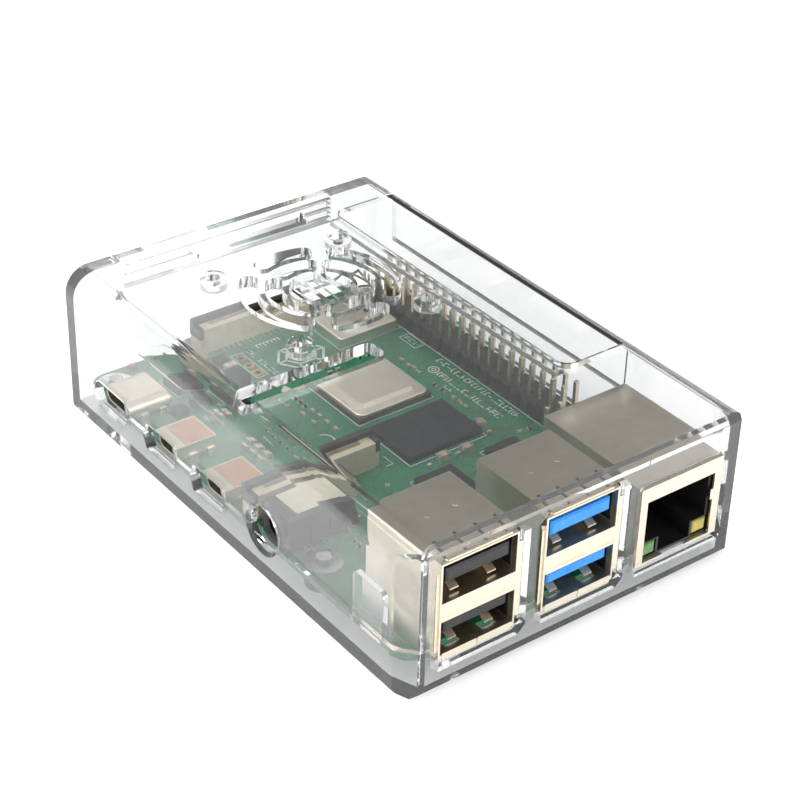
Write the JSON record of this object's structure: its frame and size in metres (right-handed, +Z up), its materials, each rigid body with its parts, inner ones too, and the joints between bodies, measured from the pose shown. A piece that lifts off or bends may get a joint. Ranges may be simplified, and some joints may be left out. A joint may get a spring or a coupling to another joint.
{
  "type": "single board computer",
  "caption": "Credit-card size computer board with stacked sockets and a pin header, in a clear two-part case with a vented lid.",
  "frame": {"origin": "middle of the case's underside", "axes": "+X towards the USB and network sockets, +Y towards the pin header, +Z up"},
  "size_m": [0.0908, 0.0602, 0.0252],
  "materials": {
    "clear_case": "clear moulded plastic",
    "board_green": "solder mask",
    "shell_metal": "plated steel",
    "lid_metal": "satin nickel",
    "can_metal": "satin",
    "chip_black": "fine moulded",
    "black_plastic": "moulded",
    "blue_plastic": "moulded",
    "pale_plastic": "moulded",
    "brown_plastic": "moulded",
    "gold": "plated",
    "tin": "bright tin",
    "ceramic_brown": "fired",
    "carrier_brown": "laminate",
    "green_lens": "clear tinted",
    "yellow_lens": "clear tinted",
    "red_lens": "clear tinted"
  },
  "bodies": {
    "base": {"audio_jack_body": "black_plastic", "audio_jack_contacts": "tin", "camera_connector": "pale_plastic", "camera_contacts": "tin", "capacitors": "ceramic_brown", "case_base": "clear_case", "crystals": "can_metal", "display_connector": "pale_plastic", "display_contacts": "tin", "ethernet_chip": "chip_black", "ethernet_contacts": "gold", "ethernet_housing": "black_plastic", "ethernet_led_green": "green_lens", "ethernet_led_yellow": "yellow_lens", "ethernet_shell": "shell_metal", "gpio_header_base": "black_plastic", "gpio_pins": "gold", "hdmi0_shell": "shell_metal", "hdmi0_tongue": "black_plastic", "hdmi1_shell": "shell_metal", "hdmi1_tongue": "black_plastic", "microsd_socket": "shell_metal", "pcb": "board_green", "poe_header_base": "black_plastic", "poe_pins": "gold", "power_chips": "chip_black", "power_inductors": "chip_black", "ram_chip": "chip_black", "resistors": "chip_black", "soc_lid": "lid_metal", "soc_package": "carrier_brown", "solder_joints": "tin", "soldered_ends": "tin", "status_led_green": "green_lens", "status_led_red": "red_lens", "usb2_contacts": "gold", "usb2_insulator": "black_plastic", "usb2_shell": "shell_metal", "usb3_contacts": "gold", "usb3_insulator": "blue_plastic", "usb3_shell": "shell_metal", "usb_c_shell": "shell_metal", "usb_c_tongue": "black_plastic", "usb_chip": "chip_black", "wifi_shield": "can_metal"},
    "lid": {"case_lid": "clear_case"},
    "gpio_cover": {"gpio_cover": "clear_case"},
    "display_latch": {"display_latch": "brown_plastic"},
    "camera_latch": {"camera_latch": "brown_plastic"}
  },
  "joints": [
    {"name": "lid_lift", "type": "slide", "parent": "base", "child": "lid", "axis": [0, 0, 1], "range_m": [0, 0.03]},
    {"name": "gpio_cover_pull", "type": "slide", "parent": "lid", "child": "gpio_cover", "axis": [0, 0, 1], "range_m": [0, 0.014]},
    {"name": "display_latch_lift", "type": "slide", "parent": "base", "child": "display_latch", "axis": [0, 0, 1], "range_m": [0, 0.0012]},
    {"name": "camera_latch_lift", "type": "slide", "parent": "base", "child": "camera_latch", "axis": [0, 0, 1], "range_m": [0, 0.0012]}
  ]
}
